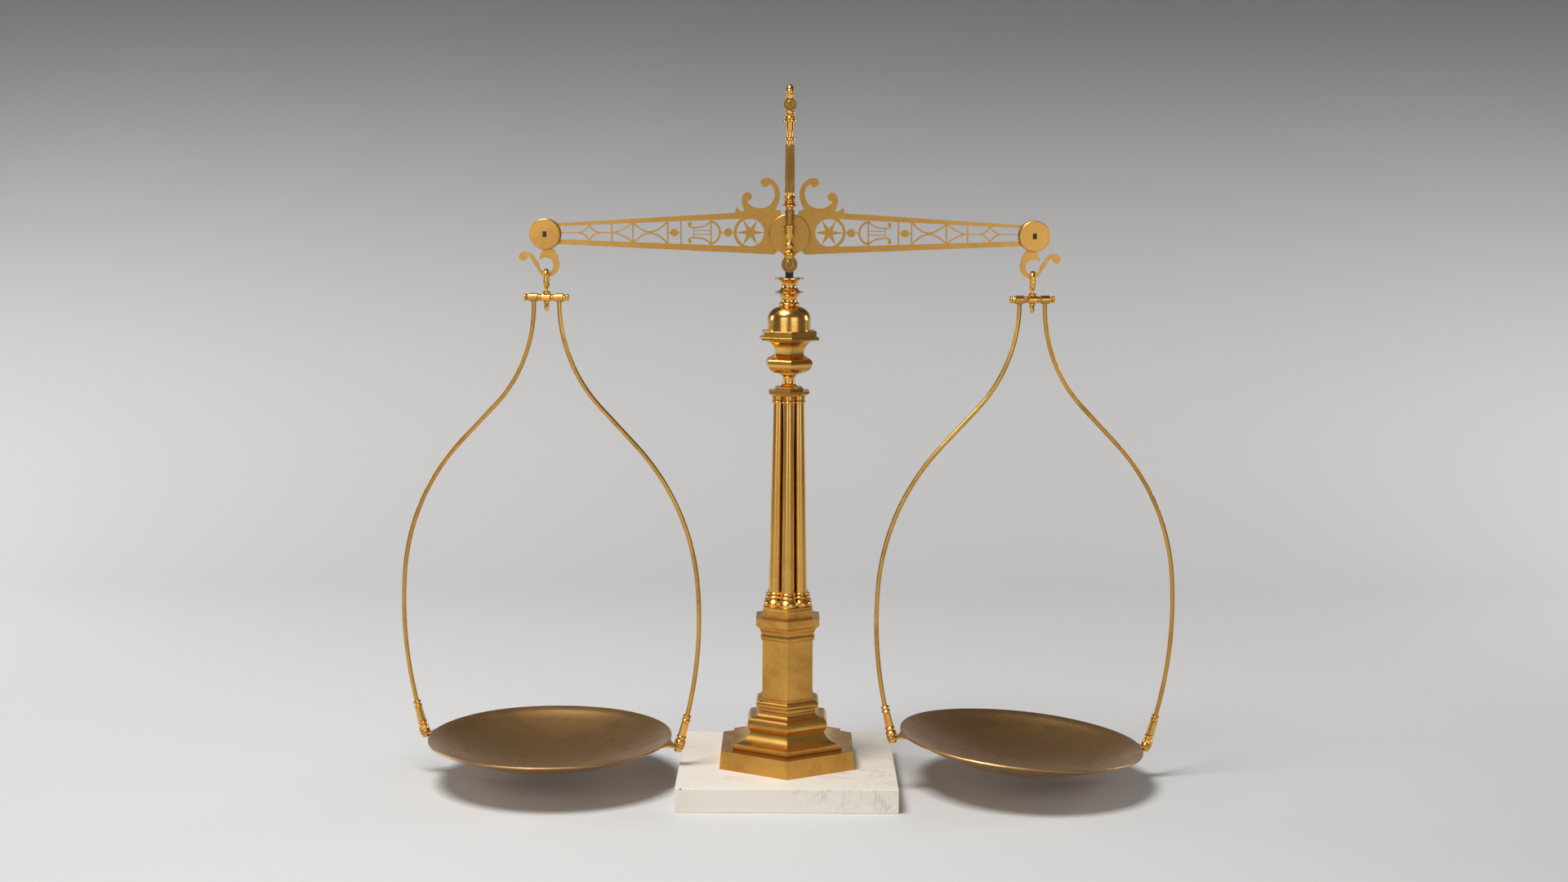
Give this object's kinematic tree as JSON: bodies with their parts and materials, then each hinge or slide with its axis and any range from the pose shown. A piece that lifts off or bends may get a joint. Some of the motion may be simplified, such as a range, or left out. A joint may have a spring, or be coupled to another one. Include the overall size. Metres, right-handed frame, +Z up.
{
  "type": "equal-arm balance scale",
  "caption": "Free-standing equal-arm balance: pierced beam on knife edges, clustered column, marble slab, dished pans on wire bows.",
  "frame": {"origin": "centre of the marble slab's underside", "axes": "+Z up, +X along the beam to the viewer's right, -Y is the front"},
  "size_m": [0.8324, 0.2596, 0.7385],
  "materials": {
    "turned_brass": "polished",
    "pedestal_brass": "satin",
    "plate_brass": "satin",
    "wire_brass": "satin",
    "pan_brass": "dull satin",
    "dark_steel": "dark satin",
    "marble": "honed white marble with faint grey veins"
  },
  "bodies": {
    "stand": {"marble_base": "marble", "foot_plinth": "pedestal_brass", "foot_moulding": "pedestal_brass", "pedestal_die": "pedestal_brass", "pedestal_cap": "pedestal_brass", "column_block": "pedestal_brass", "column_bases": "turned_brass", "column_shafts": "turned_brass", "column_capital": "turned_brass", "vase": "turned_brass", "canopy_plate": "turned_brass", "dome": "turned_brass", "spool": "turned_brass", "neck_stem": "dark_steel", "base_washer": "dark_steel", "base_nut": "dark_steel", "front_cheek": "turned_brass", "rear_cheek": "turned_brass", "cheek_finials": "turned_brass", "cheek_bearings": "dark_steel", "lower_cross_bolt": "turned_brass", "upper_cross_bolt": "turned_brass", "cross_bolt_nuts": "turned_brass", "upper_spacer": "turned_brass"},
    "beam": {"beam_plate": "plate_brass", "front_boss": "plate_brass", "rear_boss": "plate_brass", "centre_knife": "dark_steel", "pointer": "plate_brass", "left_end_discs": "plate_brass", "left_end_spacers": "plate_brass", "left_end_knife": "dark_steel", "right_end_discs": "plate_brass", "right_end_spacers": "plate_brass", "right_end_knife": "dark_steel"},
    "left_hook": {"left_hook_plate": "plate_brass", "left_hook_bearing": "dark_steel"},
    "left_shackle_body": {"left_shackle": "turned_brass", "left_swivel_finial": "turned_brass"},
    "left_bar": {"left_crossbar": "turned_brass", "left_bar_knobs": "turned_brass"},
    "left_bow": {"left_outer_leg": "wire_brass", "left_inner_leg": "wire_brass", "left_ferrules": "turned_brass", "left_foot_nuts": "turned_brass", "left_pan": "pan_brass", "left_pan_lugs": "turned_brass"},
    "right_hook": {"right_hook_plate": "plate_brass", "right_hook_bearing": "dark_steel"},
    "right_shackle_body": {"right_shackle": "turned_brass", "right_swivel_finial": "turned_brass"},
    "right_bar": {"right_crossbar": "turned_brass", "right_bar_knobs": "turned_brass"},
    "right_bow": {"right_outer_leg": "wire_brass", "right_inner_leg": "wire_brass", "right_ferrules": "turned_brass", "right_foot_nuts": "turned_brass", "right_pan": "pan_brass", "right_pan_lugs": "turned_brass"}
  },
  "joints": [
    {"name": "beam_tilt", "type": "hinge", "parent": "stand", "child": "beam", "pos_m": [0, 0, 0.588], "axis": [0, 1, 0], "range_deg": [-3, 3]},
    {"name": "left_hook_swing", "type": "hinge", "parent": "beam", "child": "left_hook", "pos_m": [-0.254, 0, 0.5865], "axis": [0, 1, 0], "range_deg": [-3.5, 3.5]},
    {"name": "left_shackle_rock", "type": "hinge", "parent": "left_hook", "child": "left_shackle_body", "pos_m": [-0.2534, 0, 0.5519], "axis": [0, 1, 0], "range_deg": [-4, 4]},
    {"name": "left_bar_swivel", "type": "hinge", "parent": "left_shackle_body", "child": "left_bar", "pos_m": [-0.2534, 0, 0.518], "axis": [0, 0, 1], "continuous": true},
    {"name": "left_bow_swing", "type": "hinge", "parent": "left_bar", "child": "left_bow", "pos_m": [-0.2534, 0, 0.518], "axis": [0.9816, -0.1908, 0], "range_deg": [-5, 5]},
    {"name": "right_hook_swing", "type": "hinge", "parent": "beam", "child": "right_hook", "pos_m": [0.254, 0, 0.5865], "axis": [0, 1, 0], "range_deg": [-3.5, 3.5]},
    {"name": "right_shackle_rock", "type": "hinge", "parent": "right_hook", "child": "right_shackle_body", "pos_m": [0.2534, 0, 0.5519], "axis": [0, 1, 0], "range_deg": [-4, 4]},
    {"name": "right_bar_swivel", "type": "hinge", "parent": "right_shackle_body", "child": "right_bar", "pos_m": [0.2534, 0, 0.518], "axis": [0, 0, 1], "continuous": true},
    {"name": "right_bow_swing", "type": "hinge", "parent": "right_bar", "child": "right_bow", "pos_m": [0.2534, 0, 0.518], "axis": [0.9816, 0.1908, 0], "range_deg": [-5, 5]}
  ],
  "couplings": [
    {"joint": "left_hook_swing", "follows": "beam_tilt", "ratio": -1},
    {"joint": "right_hook_swing", "follows": "beam_tilt", "ratio": -1}
  ]
}
